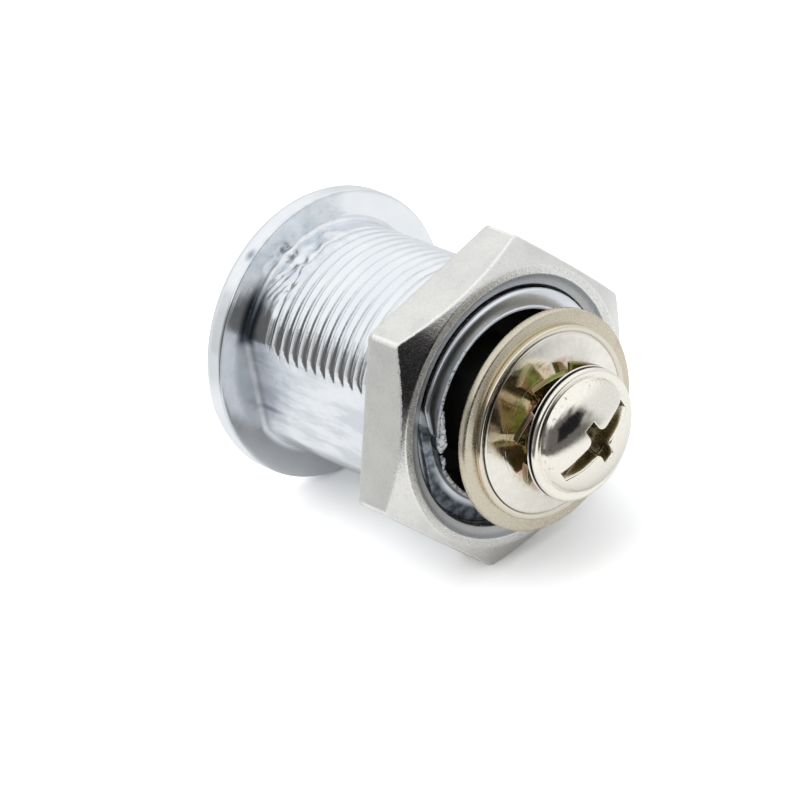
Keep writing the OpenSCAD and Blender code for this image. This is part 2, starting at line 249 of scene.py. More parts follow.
def makeChrome():
    f = Finish("brightChrome")
    h = housing
    theta = f.angle()
    cloud = f.noise(0.35, 4.0)
    grit = f.noise(4.5, 3.0, 0.7)
    end, inner = h["barrelL"], h["recessR"]
    recess = f.radius.ramp(inner + 0.09, inner + 0.01) * f.y.ramp(end - 0.3, end - 1.4) * f.y.ramp(13.0, 14.0)
    flat = abs(f.x).ramp(h["flatX"] - 0.03, h["flatX"] - 0.01) * f.y.ramp(0.0, 0.1) * abs(f.z).ramp(3.9, 3.7)
    casting = theta.ramp(40, 52) * theta.ramp(112, 98) * f.y.ramp(4.6, 2.6) * f.y.ramp(-0.3, -0.05)
    root = theta.ramp(-28, -12) * theta.ramp(40, 22) * f.y.ramp(4.0, 0.2) * f.y.ramp(-0.3, -0.1)
    streaks = f.stretched(0.9, 3.0, (1.0, 0.25, 1.0))
    creviceShade = f.y.ramp(1.1, 0.3) * f.radius.ramp(10.1, 9.3) * theta.ramp(60, 40) * theta.ramp(-40, -20)
    creviceShade = creviceShade * f.y.ramp(-0.05, 0.005)
    cutWall = theta.ramp(18.5, 16.5) * theta.ramp(-118, -110) * f.y.ramp(end - 0.02, end - 0.2)
    cutWall = cutWall * f.y.ramp(17.9, 18.1) * f.radius.ramp(6.9, 7.0)
    rim = f.y.ramp(end - 0.20, end - 0.08)
    burrGlint = f.y.ramp(end - 0.18, end - 0.1) * f.radius.ramp(inner + 0.41, inner + 0.31)
    burrGlint = burrGlint * theta.ramp(10, 16) * grit.ramp(0.36, 0.5)
    dentShade = f.spot((8.0, 1.2, -1.95), 1.3, (1.0, 0.55, 3.0))
    smudge = f.spot(atAngle(59, 11.25, -0.45), 0.75, (1.0, 1.3, 0.8))
    color = f.mix(cloud.ramp(0.35, 0.7), tone(0.87, 0.90, 0.93), tone(0.93, 0.95, 0.97))
    color = f.mix(flat * streaks.ramp(0.42, 0.62), color, tone(0.72, 0.75, 0.79))
    color = f.mix(casting * f.noise(0.9, 2.0).ramp(0.35, 0.7), color, tone(0.76, 0.80, 0.85))
    # painted shade: dim blue-grey streaks on the barrel's root beside the flange
    color = f.mix(root * streaks.ramp(0.3, 0.6, 0.15, 0.35), color, tone(0.46, 0.50, 0.57))
    # painted shade in the crevice between the flange's back and the barrel: near black past 19 to 25 degrees
    # round, grey before
    color = f.mix(creviceShade * theta.ramp(19, 25), color, tone(0.10, 0.12, 0.15))
    color = f.mix(creviceShade * theta.ramp(25, 19) * 0.4, color, tone(0.38, 0.41, 0.46))
    # painted shade in the deepest pits of the casting
    for mark in h["darkPits"]:
        color = f.mix(f.spot(atAngle(*mark), h["pitReach"]) * h["pitShade"], color, tone(0.08, 0.10, 0.13))
    # painted shade of a small dent on the flat; the shape itself has no dent
    color = f.mix(dentShade * 0.75, color, tone(0.22, 0.26, 0.33))
    color = f.mix(smudge * 0.8, color, tone(0.22, 0.27, 0.36))
    slope = f.radius.ramp(8.0, 7.5) * theta.ramp(-8, -30)
    low = theta.ramp(-12, -28)
    milled = f.noise(1.3, 4.0, 0.6).ramp(0.36, 0.62)
    # the milled notch floor has a dark mottled tone, and from -12 to -28 degrees round it turns darker still
    # as painted shade
    milled = f.mix(milled, f.mix(low, tone(0.36, 0.40, 0.45), tone(0.16, 0.18, 0.21)),
                   f.mix(low, tone(0.12, 0.14, 0.17), tone(0.04, 0.045, 0.06)))
    milled = f.mix(slope, milled, tone(0.84, 0.88, 0.93))
    color = f.mix(cutWall, color, milled)
    # painted shade: the rim's top face is dark grey up to 50 degrees round and bright only past 85
    color = f.mix(rim, color, f.mix(theta.ramp(50, 85), tone(0.34, 0.37, 0.41), tone(0.88, 0.91, 0.95)))
    # painted highlight: a ragged bright line along the rim's inner edge, made less metallic so that it shows
    # light
    color = f.mix(burrGlint, color, tone(0.92, 0.95, 1.0))
    # painted shade: the rear recess inside the rim is painted near black and made less metallic
    color = f.mix(recess, color, tone(0.012, 0.011, 0.010))
    rough = cloud.ramp(0.3, 0.75, 0.09, 0.17)
    for mask, more in ((recess, 0.6), (flat, 0.10), (casting, 0.16), (cutWall, 0.18), (rim, 0.2),
                       (root, 0.12), (creviceShade, 0.15)):
        rough = rough + mask * more
    metal = 1.0 - recess * 0.9 - burrGlint * (1.0 - recess) * 0.8
    wave = f.bump(f.stretched(0.8, 3.0, (1.0, 0.35, 1.0)), 0.10, flat * 0.45 + 0.12)
    fine = f.bump(grit, 0.012, f.y.ramp(0.2, 0.8) * 0.5, wave)
    return f.done(color=color, roughness=rough, metallic=metal, normal=fine)


def makeTornPlating():
    f = Finish("tornPlating")
    flake = f.noise(2.6, 4.0, 0.6)
    color = f.mix(flake.ramp(0.42, 0.56), tone(0.34, 0.38, 0.44), tone(1.0, 1.0, 1.0))
    return f.done(color=color, roughness=flake.ramp(0.3, 0.7, 0.28, 0.5), metallic=0.15,
                  normal=f.bump(flake, 0.08, 0.5))


def makeDarkCut():
    f = Finish("darkCut")
    return f.done(color=f.mix(f.noise(3.0).ramp(0.35, 0.65), tone(0.14, 0.16, 0.19), tone(0.28, 0.31, 0.35)),
                  roughness=0.35, metallic=1.0)


def makeNutSatin():
    f = Finish("blastedNickel")
    n = nut
    speck = f.noise(7.0, 3.0, 0.75)
    grain = f.noise(3.0, 3.0, 0.6)
    patch = f.noise(0.45, 3.0)
    theta = f.angle()
    cone = f.y + (f.radius - n["faceR"]) * math.tan(math.radians(n["chamferDeg"])) - n["back"]
    turned = abs(cone).ramp(0.12, 0.06) * f.radius.ramp(n["faceR"] - 0.1, n["faceR"])
    face = f.y.ramp(n["back"] - 0.05, n["back"] - 0.02)
    sink = f.radius.ramp(n["sinkR"] + 0.02, n["sinkR"] - 0.05) * f.y.ramp(n["back"] - 0.9, n["back"] - 0.6)
    color = f.mix(patch.ramp(0.3, 0.7), tone(0.80, 0.795, 0.77), tone(0.88, 0.87, 0.84))
    color = f.mix(face * 0.6, color, tone(0.97, 0.96, 0.93))
    lip = n["sinkR"]
    lipGlint = f.radius.ramp(lip - 0.11, lip - 0.03) * f.radius.ramp(lip + 0.13, lip + 0.05)
    # painted highlight: a bright thin ring at the countersink's outer edge
    color = f.mix(lipGlint, color, tone(1.0, 0.99, 0.97))
    # painted reflection: the countersink is painted darker bluish towards its outer edge and lighter inside
    color = f.mix(sink, color, f.mix(f.radius.ramp(9.8, 9.4), tone(0.50, 0.52, 0.55), tone(0.84, 0.85, 0.86)))
    gap = sink * f.radius.ramp(n["boreR"] + 0.22, n["boreR"] + 0.13)
    # painted shade: black at the countersink's foot, where the gap to the housing lies
    color = f.mix(gap, color, tone(0.03, 0.03, 0.035))
    shaded = turned * theta.ramp(20, 30) * theta.ramp(60, 52)
    color = f.mix(shaded, color, tone(0.30, 0.29, 0.29))
    color = f.mix(speck.ramp(0.56, 0.74, 0.0, 0.45), color, tone(0.42, 0.40, 0.37))
    color = f.mix(speck.ramp(0.42, 0.3, 0.0, 0.5), color, tone(0.97, 0.96, 0.94))
    rough = speck.ramp(0.3, 0.7, 0.34, 0.48) - turned * 0.19 - face * 0.12
    normal = f.bump(speck, 0.05, 0.75 - turned * 0.45, f.bump(grain, 0.06, 0.5 - turned * 0.3))
    return f.done(color=color, roughness=rough, metallic=1.0, normal=normal)


def makeWornEdgeHighlight():
    f = Finish("wornNickelEdgeHighlight")
    speck = f.noise(7.0, 3.0, 0.7)
    # worn nickel on the nut's edges, brighter and less metallic than the flats: wear and a painted highlight
    color = f.mix(speck.ramp(0.35, 0.65), tone(0.90, 0.89, 0.86), tone(1.0, 0.99, 0.97))
    return f.done(color=color, roughness=speck.ramp(0.3, 0.7, 0.26, 0.42), metallic=0.6,
                  normal=f.bump(speck, 0.03, 0.6))


def makeWarmSatin():
    f = Finish("paleGoldSatin")
    fine = f.noise(7.0, 3.0, 0.6)
    patch = f.noise(0.9, 3.0)
    color = f.mix(fine.ramp(0.35, 0.7), tone(0.66, 0.60, 0.47), tone(0.78, 0.72, 0.59))
    color = f.mix(patch.ramp(0.5, 0.75, 0.0, 0.5), color, tone(0.56, 0.49, 0.37))
    rough = fine.ramp(0.3, 0.7, 0.20, 0.32)
    return f.done(color=color, roughness=rough, metallic=1.0, normal=f.bump(fine, 0.012, 0.5))


def makePolishedNickel():
    f = Finish("polishedNickel")
    marks = f.rings(9.0)
    mottle = f.noise(2.4, 4.0)
    teethReflection = f.noise(0.9, 2.0)
    w = washers
    nearStarShade = f.radius.ramp(w["starR"] + 0.25, w["starR"] - 0.35)
    line = abs(f.radius - w["lineR"]).ramp(0.07, 0.04) * f.y.ramp(w["dishFrom"] + 0.2, w["dishFrom"] + 0.35)
    color = f.mix(mottle.ramp(0.35, 0.7), tone(0.90, 0.86, 0.78), tone(0.96, 0.93, 0.86))
    # painted shade and reflection near the star washer: darker tan, with green and pink patches as painted
    # reflections of its chromated teeth
    color = f.mix(nearStarShade, color, tone(0.76, 0.69, 0.57))
    color = f.mix(nearStarShade * teethReflection.ramp(0.36, 0.42) * teethReflection.ramp(0.50, 0.44), color, tone(0.50, 0.54, 0.28))
    color = f.mix(nearStarShade * teethReflection.ramp(0.56, 0.64), color, tone(0.66, 0.46, 0.38))
    color = f.mix(f.radius.ramp(w["lineR"], w["lineR"] + 0.05), color, tone(0.82, 0.76, 0.64))
    # painted shade: a black line in the small groove, full between -20 and 60 degrees round and faint
    # elsewhere
    shadedSide = f.angle().ramp(-75, -20, 0.25, 1.0) * f.angle().ramp(120, 60, 0.25, 1.0)
    color = f.mix(line * shadedSide, color, tone(0.05, 0.05, 0.05))
    # one fine scratch runs round, a little off the washer's middle
    gap = abs(((f.x - 0.35) * (f.x - 0.35) + (f.z + 0.35) * (f.z + 0.35)) ** 0.5 - 4.72)
    scratch = gap.ramp(0.035, 0.01) * f.x.ramp(-1.6, -0.6) * f.noise(1.3, 2.0).ramp(0.35, 0.45)
    color = f.mix(scratch * 0.8, color, tone(0.97, 0.95, 0.90))
    rough = mottle.ramp(0.3, 0.7, 0.08, 0.16) + scratch * 0.3
    wave = f.bump(f.noise(0.8, 2.0), 0.03, 0.4)
    return f.done(color=color, roughness=rough, metallic=1.0, normal=f.bump(marks, 0.004, 0.4, wave))


def makeChromate():
    f = Finish("yellowChromate")
    tint = f.noise(0.8, 2.0)
    color = f.mix(tint.ramp(0.38, 0.5), tone(0.26, 0.31, 0.09), tone(0.30, 0.24, 0.11))
    color = f.mix(tint.ramp(0.54, 0.68), color, tone(0.34, 0.20, 0.15))
    return f.done(color=color, roughness=f.noise(5.0).ramp(0.3, 0.7, 0.14, 0.26), metallic=1.0)


def makeBrightCut():
    f = Finish("chromateEdge")
    fine = f.noise(6.0)
    color = f.mix(fine.ramp(0.35, 0.65), tone(0.84, 0.84, 0.52), tone(0.96, 0.96, 0.78))
    return f.done(color=color, roughness=0.3, metallic=0.85)


def makeScrewNickel():
    f = Finish("screwNickel")
    fine = f.noise(5.0, 3.0)
    speck = f.noise(3.4, 4.0, 0.7)
    s = screw
    low, rimR, domeR = s["headFrom"], s["collarR"], s["domeR"]
    top = low + s["collarT"]
    dome = 1.0 - (f.radius / domeR) ** 2.0
    dome = dome.calc("MAXIMUM", dome, 0.0) ** 0.5
    sunk = (dome * s["domeH"] + top) - f.y
    inRecessShade = sunk.ramp(0.12, 0.5) * f.radius.ramp(domeR - 0.3, domeR - 0.45) * f.y.ramp(top - 0.5, top)
    foot = f.radius.ramp(domeR + 0.3, domeR) * f.radius.ramp(domeR - 0.5, domeR - 0.2)
    color = f.mix(fine.ramp(0.35, 0.7), tone(0.95, 0.91, 0.82), tone(1.0, 0.97, 0.88))
    color = f.mix(foot * speck.ramp(0.56, 0.7), color, tone(0.45, 0.41, 0.33))
    groove = f.y.ramp(low + 0.11, low + 0.15) * f.radius.ramp(rimR - 0.04, rimR - 0.09)
    groove = groove * f.y.ramp(low + 0.42, low + 0.38) * f.radius.ramp(rimR - 0.3, rimR - 0.25)
    # painted shade: the groove round the collar's side is painted near black
    color = f.mix(groove, color, tone(0.06, 0.06, 0.07))
    # painted shade: the pressed recess is painted darker brown inside
    color = f.mix(inRecessShade, color, tone(0.34, 0.29, 0.19))
    rough = fine.ramp(0.3, 0.75, 0.08, 0.15) + inRecessShade * 0.16 + groove * 0.3
    return f.done(color=color, roughness=rough, metallic=1.0, normal=f.bump(fine, 0.008, 0.4))


def makeZinc():
    f = Finish("plugZinc")
    cloud = f.noise(0.9, 4.0)
    # the tail stands in the housing's dark recess: it is painted near black as painted shade from the
    # recess's floor up to near its rim, fading just past it
    foot, end = housing["recessFrom"], housing["barrelL"]
    deepShade = f.y.ramp(foot - 0.5, foot - 0.2) * f.y.ramp(end + 0.3, end - 0.7)
    color = f.mix(cloud.ramp(0.3, 0.7), tone(0.82, 0.84, 0.87), tone(0.88, 0.90, 0.92))
    color = f.mix(deepShade, color, tone(0.012, 0.011, 0.010))
    return f.done(color=color, roughness=cloud.ramp(0.3, 0.7, 0.14, 0.26) + deepShade * 0.6,
                  metallic=1.0 - deepShade * 0.9, normal=f.bump(f.noise(1.2), 0.02, 0.3))


def makeBrass():
    f = Finish("stampedBrass")
    fine = f.noise(4.0, 3.0)
    color = f.mix(fine.ramp(0.3, 0.7), tone(0.72, 0.53, 0.22), tone(0.86, 0.68, 0.34))
    return f.done(color=color, roughness=fine.ramp(0.3, 0.7, 0.2, 0.36), metallic=1.0,
                  normal=f.bump(fine, 0.01, 0.4))


def makeWire():
    f = Finish("springWire")
    fine = f.noise(8.0, 2.0)
    color = f.mix(fine.ramp(0.3, 0.7), tone(0.55, 0.55, 0.56), tone(0.7, 0.7, 0.7))
    return f.done(color=color, roughness=fine.ramp(0.3, 0.7, 0.22, 0.34), metallic=1.0)


# Housing: flange, threaded barrel with two flats, rear recess and stop notch

housing = {"steps": 288, "flangeR": 11.25, "flangeT": 1.4, "frontRise": 0.7, "faceR": 9.95, "barrelL": 19.6,
           "crestR": 8.9, "pitch": 1.0, "depth": 0.35, "rowsPerTurn": 10, "threadFrom": 1.2, "fullFrom": 4.6,
           "grooveHalf": 0.24, "crestDrop": 0.035, "rootR": 0.4,
           "flatX": 8.0, "boreR": 6.25, "seatR": 7.35, "seatT": 1.25, "recessR": 7.35, "recessFrom": 15.1,
           "notchFrom": 18.0, "notchTo": -111.0, "notchDepth": 1.2, "notchRamp": 0.8, "notchSkew": 5.4,
           "notchLip": 0.34, "lipReach": 0.6, "notchBase": 17.5,
           "rimBand": 0.35, "castRise": 1.4,
           # millimetres of skin for one degree round the barrel
           "skinPerDeg": 0.155,
           # angles where each of these begins, is full, begins to fade and ends
           "smoothSpan": (-57, -52, 0, 2), "castSpan": (44, 56, 92, 106), "backSpan": (44, 56, 92, 104),
           "ridgeSpan": (44, 48, 58, 64),
           # pits and lumps of the rough casting: angle, along, reach, height
           "castMarks": [(70.5, 0.55, 0.46, -0.15), (71.2, 2.0, 0.40, -0.17), (66.5, 1.6, 0.34, -0.12),
                         (76.0, 0.9, 0.60, 0.12), (67.2, 2.55, 0.48, 0.17), (70.0, 1.3, 0.34, 0.11),
                         (91.7, 1.35, 0.50, 0.12), (96.6, 1.85, 0.44, 0.12), (86.0, 1.1, 0.40, -0.08),
                         (58.3, 0.7, 0.46, 0.08), (80.5, 1.9, 0.44, -0.10), (63.0, 0.6, 0.36, -0.08),
                         (84.0, 2.5, 0.46, 0.10), (61.5, 1.2, 0.34, 0.07)],
           # the same on the flange's back: angle, distance from the axis, reach, height
           "backMarks": [(70.2, 9.40, 0.34, -0.10), (75.7, 9.35, 0.45, 0.09), (64.5, 9.7, 0.45, 0.06),
                         (80.5, 9.75, 0.40, 0.05), (60.0, 9.4, 0.38, -0.05), (87.6, 9.5, 0.36, 0.06)],
           # the deepest pits are painted dark as painted shade: angle, distance from the axis, along
           "darkPits": [(70.5, 8.9, 0.55), (71.2, 8.9, 2.0), (66.5, 8.9, 1.6), (70.2, 9.40, 0.0)],
           "pitReach": 0.42, "pitShade": 0.85,
           "ridgeStep": 0.6, "ridgeSlope": 0.08, "ridgeHeight": 0.06, "flatBlend": 0.14, "backR": 10.9,
           # grooves that the tumblers spring into, and the retainer's ring groove
           "grooveFrom": 0.65, "grooveHalfW": 2.8, "grooveR": 7.05, "grooveLimit": 7.3, "ringFrom": 12.85,
           "ringTo": 14.15}


def threadDepthAt(theta, along):
    # full thread on both round sides, none on the smooth strips, less near the flange
    h = housing
    depth = h["depth"] * smoothStep(h["threadFrom"], h["fullFrom"], along)
    for turned in (theta, theta + 180 if theta < 0 else theta - 180):
        depth *= 1 - spanStep(turned, h["smoothSpan"])
    return depth


def castingAt(theta, along):
    # height of the rough cast skin beside the flange, on the side where the thread dies out
    h = housing
    reach = spanStep(theta, h["castSpan"]) * smoothStep(4.4, 2.2, along)
    if reach <= 0:
        return 0.0
    spot = Vector((theta * h["skinPerDeg"], along, 0))
    height = 0.03 * noise.noise(spot * 1.2) + 0.03 * noise.noise(spot * 2.4) + 0.012 * noise.noise(spot * 5)
    for markTheta, markAlong, size, rise in h["castMarks"]:
        away = math.hypot((theta - markTheta) * h["skinPerDeg"], along - markAlong) / size
        height += h["castRise"] * rise * math.exp(-away * away)
    slanted = (along - h["ridgeSlope"] * (theta - 50)) / h["ridgeStep"]
    ridges = spanStep(theta, h["ridgeSpan"]) * smoothStep(3.4, 2.4, along)
    height += ridges * h["ridgeHeight"] * math.sin(fullTurn * slanted)
    return height * reach


def flangeBackAt(theta, r):
    # height of the rough cast skin on the flange's back
    h = housing
    height = 0.03 * noise.noise(atAngle(theta, r, 0) * 1.8) * spanStep(theta, h["backSpan"])
    for markTheta, markR, size, rise in h["backMarks"]:
        away = math.hypot(math.radians(theta - markTheta) * r, r - markR) / size
        height += rise * math.exp(-away * away)
    return height * smoothStep(10.8, 10.2, r)


def boreAt(theta):
    # distance from the axis to the bore's wall, with a groove on each of the four sides
    h = housing
    off = math.radians(abs((theta + 45) % 90 - 45))
    return max(h["boreR"], min(h["grooveLimit"], h["grooveR"] / math.cos(off),
                               h["grooveHalfW"] / max(math.sin(off), 1e-6)))


def housingOutline():
    h = housing
    front = -h["flangeT"] - h["frontRise"]
    crest, end, root = h["crestR"], h["barrelL"], h["rootR"]
    step = h["pitch"] / h["rowsPerTurn"]
    outline = [(h["seatR"] + 0.12, front), (h["seatR"], front + 0.12), (h["seatR"], front + h["seatT"]),
               (h["boreR"], front + h["seatT"]), (h["boreR"], h["grooveFrom"]),
               (h["boreR"], h["grooveFrom"] + 0.01), (h["boreR"], h["ringFrom"]),
               (h["grooveR"], h["ringFrom"]), (h["grooveR"], h["ringTo"]),
               (h["boreR"], h["ringTo"]), (h["boreR"], h["recessFrom"]), (h["recessR"], h["recessFrom"]),
               (h["recessR"], 17.0), (h["recessR"], 18.0), (h["recessR"], 18.6), (h["recessR"], end - 0.10)]
    outline += arc(h["recessR"] + 0.14, end - 0.10, 0.14, 180, 20, 6)[1:]
    outline += [(h["recessR"] + 0.36, end)]
    outline += arc(crest - 0.28, end - 0.28, 0.28, 90, 0, 6)
    rows = int((end - 0.4) / step)
    outline += [(crest, k * step) for k in range(rows, 4, -1)]
    outline += arc(crest + root, root, root, 180, 270, 6)
    outline += [(crest + root + 0.19 * k, 0.0) for k in range(1, 9)]
    outline += arc(h["flangeR"] - 0.12, -0.12, 0.12, 90, 0, 3)
    outline += [(h["flangeR"], -0.12 - 0.15 * k) for k in range(1, 7)]
    outline += arc(h["flangeR"] - 0.25, -h["flangeT"] + 0.2, 0.25, 0, -40, 3)
    rise = h["frontRise"] - 0.06
    for i in range(1, 9):
        a = math.radians(90 * i / 8)
        outline.append((h["faceR"] + (h["flangeR"] - 0.1 - h["faceR"]) * math.cos(a),
                        -h["flangeT"] - rise * math.sin(a) - 0.02))
    outline.append((h["faceR"] - 0.4, front))
    return outline


def shapeHousingVert(co):
    # thread, flats, grooves of the bore, rough casting and stop notch, on one point of the spun blank
    h = housing
    crest, end = h["crestR"], h["barrelL"]
    r, theta, along = radius(co), rowAngle(co), co.y
    toFlat = h["flatX"] * r / max(abs(co.x), 1e-6)
    newR, newY = r, along
    if r < h["recessR"] - 0.01 and h["grooveFrom"] + 0.005 < along < h["recessFrom"] + 0.01:
        newR = max(r, boreAt(theta))
    elif abs(r - crest) < 1e-3 and 0 < along < end - h["rimBand"]:
        p = abs((along / h["pitch"]) % 1 - 0.5) * 2          # 0 in the groove, 1 on the crest
        groove = max(0.0, 1 - p / (2 * h["grooveHalf"]))
        fade = smoothStep(end - 0.4, end - 1.0, along)
        depth = threadDepthAt(theta, along) * fade
        newR = crest - depth * groove - h["crestDrop"] * (1 - p) ** 2 * depth / h["depth"]
        newR += 0.012 * noise.noise(co * 1.3) * fade - 0.01
        newR += castingAt(theta, along)
        newR = softMin(newR, toFlat, h["flatBlend"])
        slant = spanStep(along, (0.3, 1.8, end - 2.2, end - 0.6))
        newY -= h["pitch"] * theta / perTurn * slant
    elif r > h["recessR"] + 0.1 and along > -0.05:
        # the rear edge and the root beside the flange follow the flats
        shift = crest - softMin(crest, toFlat, h["flatBlend"])
        if along > end - h["rimBand"]:
            newR = r - shift * smoothStep(h["recessR"] + 0.3, crest - 0.28, r)
        else:
            newR = r - shift * smoothStep(h["backR"], crest + h["rootR"], r)
            newY += flangeBackAt(theta, r)
    co.x *= newR / r
    co.z *= newR / r
    co.y = newY
    if co.y > h["notchBase"]:
        edge = h["notchFrom"] - (crest - newR) * h["notchSkew"]
        low = smoothStep(edge, edge - h["notchRamp"], theta)
        low *= smoothStep(h["notchTo"] - 2, h["notchTo"], theta)
        share = (co.y - h["notchBase"]) / (end - h["notchBase"])
        co.y -= low * share * h["notchDepth"]
        # the cutter has pushed the notch's inner edge up into a lip over the recess
        lipR = h["recessR"] + h["lipReach"]
        if newR < lipR:
            inner = smoothStep(0.55, 1.0, share) * smoothStep(lipR, h["recessR"], newR) * low
            lip = h["notchLip"] * inner
            co.x *= 1 - lip / newR
            co.z *= 1 - lip / newR
            co.y += lip


def makeHousing():
    h = housing
    bm = bmesh.new()
    spinOutline(bm, housingOutline(), h["steps"])
    for v in bm.verts:
        shapeHousingVert(v.co)
    bmesh.ops.remove_doubles(bm, verts=bm.verts[:], dist=1e-5)
    bmesh.ops.recalc_face_normals(bm, faces=bm.faces[:])
    return finishMesh(bm, "housingBody", [finishes["housing_chrome"]], "housing",
                      "housing", 44)


# Torn flash: thin ragged plating that the notch's cutter left along the recess

flash = {"sheet": 0.06, "rows": 8, "stepDeg": 0.5, "ragged": 0.10, "plain": 0.42,
         # angle, radius and along of the foot, radius and along of the torn edge
         "strips": {"tornFlashTop": [(26.0, 7.38, 19.56, 7.32, 19.62), (20.0, 7.36, 19.40, 7.12, 19.64),
                                     (13.0, 7.38, 18.80, 6.96, 19.66), (7.0, 7.38, 18.55, 6.80, 19.60),
                                     (3.0, 7.34, 18.55, 6.70, 19.42), (0.0, 7.16, 18.65, 6.74, 19.16),
                                     (-2.0, 6.98, 18.80, 6.82, 18.98)],
                    "tornFlashMiddle": [(-4.0, 7.10, 18.75, 6.98, 19.05), (-7.0, 7.12, 18.68, 6.86, 19.15),
                                        (-10.0, 7.12, 18.65, 6.88, 19.08), (-15.0, 7.10, 18.60, 7.00, 18.80)],
                    "tornFlashFoot": [(-15.5, 7.10, 18.60, 7.00, 18.82), (-24.0, 7.10, 18.58, 7.00, 18.76),
                                      (-33.0, 7.10, 18.58, 7.02, 18.74), (-44.0, 7.10, 18.58, 7.05, 18.70),
                                      (-52.0, 7.10, 18.58, 7.08, 18.64)]}}


def makeFlashStrip(name):
    s = flash
    stops = s["strips"][name]
    columns = int((stops[0][0] - stops[-1][0]) / s["stepDeg"]) + 1
    bm = bmesh.new()
    bmesh.ops.create_grid(bm, x_segments=columns, y_segments=s["rows"], size=0.5)
    for f in bm.faces:
        f.material_index = int(f.calc_center_median().y + 0.5 < s["plain"] and name != "tornFlashFoot")
    for v in bm.verts:
        across, up = v.co.x + 0.5, v.co.y + 0.5
        theta = stops[0][0] + (stops[-1][0] - stops[0][0]) * across
        footR, footY, edgeR, edgeY = between(stops, theta)
        tear = s["ragged"] * noise.noise(Vector((theta * 0.9, 3.0, 0))) + 0.5 * s["ragged"] * \
            noise.noise(Vector((theta * 2.7, 7.0, 0)))
        reach = up * (1 + tear / max(0.2, math.hypot(edgeR - footR, edgeY - footY)))
        curl = 0.12 * math.sin(math.pi * min(1.0, up)) + 0.03 * noise.noise(Vector((theta * 0.6, up * 4, 1)))
        v.co = atAngle(theta, footR + (edgeR - footR) * reach + curl, footY + (edgeY - footY) * reach + curl)
    bmesh.ops.recalc_face_normals(bm, faces=bm.faces[:])
    bmesh.ops.solidify(bm, geom=bm.faces[:], thickness=s["sheet"])
    bmesh.ops.recalc_face_normals(bm, faces=bm.faces[:])
    return finishMesh(bm, name, [finishes["torn_plating"], finishes["dark_cut"]], "housing",
                      None, 50)


# Hex nut: a spun blank whose wall is drawn in to the six flats and the cone

nut = {"steps": 480, "crowd": 0.72, "sides": 6, "sideDeg": 60.0, "flats": 22.0,
       "front": 15.4, "back": 19.5, "boreR": 8.95, "faceR": 10.6, "chamferDeg": 30,
       "sinkR": 9.95, "sinkL": 0.42, "turn": 13.0, "cornerBlend": 0.35, "coneBlend": 0.18,
       "coneRow": 0.04, "coneFrom": 18.1, "edge": 0.12}


def nutWall(theta, along):
    # distance from the axis to the nearest of two flats and the cone, with worn edges between them
    n = nut
    offs = [(theta + n["turn"] + 180 + n["sideDeg"] * (k - 0.5)) % perTurn - 180 for k in range(n["sides"])]
    flats = sorted(n["flats"] / 2 / math.cos(math.radians(off)) for off in offs if abs(off) < 80)
    wall = softMin(flats[0], flats[1], n["cornerBlend"])
    cone = n["faceR"] + (n["back"] - along) / math.tan(math.radians(n["chamferDeg"]))
    return softMin(wall, cone, n["coneBlend"])


def makeNut():
    n = nut
    blankR = n["flats"] / 2
    rows = int((n["back"] - n["coneFrom"]) / n["coneRow"])
    outline = [(n["boreR"], n["front"] + 0.3), (n["boreR"] + 0.3, n["front"]),
               (blankR - n["edge"] - 0.1, n["front"])]
    outline += arc(blankR - n["edge"], n["front"] + n["edge"], n["edge"], -90, 0, 3)
    outline += [(blankR, n["front"] + 0.4 + 0.5 * k) for k in range(5)]
    outline += [(blankR, n["coneFrom"] + n["coneRow"] * k) for k in range(rows)]
    outline += [(n["faceR"], n["back"]), (n["faceR"] - 0.06, n["back"]), (n["sinkR"] + 0.08, n["back"]),
                (n["sinkR"], n["back"] - 0.02), (n["sinkR"] - 0.08, n["back"] - 0.08),
                (n["boreR"] + 0.2, n["back"] - n["sinkL"] + 0.03), (n["boreR"], n["back"] - n["sinkL"] - 0.1)]
    bm = bmesh.new()
    spinOutline(bm, outline, n["steps"])
    side = n["sideDeg"]
    corner = side - n["turn"]
    for v in bm.verts:
        # crowd the columns towards the corners, then draw the wall in or out
        theta, r = rowAngle(v.co), radius(v.co)
        theta -= n["crowd"] * side / fullTurn * math.sin((theta - corner) * fullTurn / side)
        if r > blankR - n["edge"] - 0.2:
            r += nutWall(theta, v.co.y) - blankR
        v.co = atAngle(theta, r, v.co.y)
    bmesh.ops.recalc_face_normals(bm, faces=bm.faces[:])
    for f in bm.faces:
        lean = abs(f.normal.y)
        off = (rowAngle(f.normal) + n["turn"]) % side - side / 2
        # faces on the edges between the flats and the cone take the worn edge finish, which is wear and a
        # painted highlight
        if f.calc_center_median().y > n["front"] + 0.3 and radius(f.calc_center_median()) > n["faceR"]:
            f.material_index = int(0.08 < lean < 0.80 or (lean <= 0.08 and abs(off) > 6))
    return finishMesh(bm, "hexNutBody", [finishes["nut_satin"], finishes["worn_edge"]], "nut",
                      "hex_nut", 44)


# Washers under the screw's head

washers = {"steps": 240, "holeR": 2.75,
           "flatR": 8.3, "flatFrom": 22.3, "flatT": 0.7, "flatEdge": 0.2,
           "dishR": 7.25, "dishFrom": 23.0, "dishT": 0.5, "dishEdge": 0.16, "lineR": 6.78, "lineDepth": 0.09,
           # radius and height of the dished washer's underside
           "dishCurve": [(2.7, 0.90), (3.3, 0.88), (3.8, 0.74), (4.3, 0.49), (4.8, 0.30), (5.3, 0.18),
                         (5.9, 0.08), (6.6, 0.0), (7.3, 0.0)],
           "starR": 4.95, "starRingR": 3.45, "starFrom": 24.4, "starT": 0.5, "starTall": 1.474,
           "starTeeth": 8, "starTurn": 16.0, "toothDeg": 28.5, "twistDeg": 24.0, "starCut": 0.065}


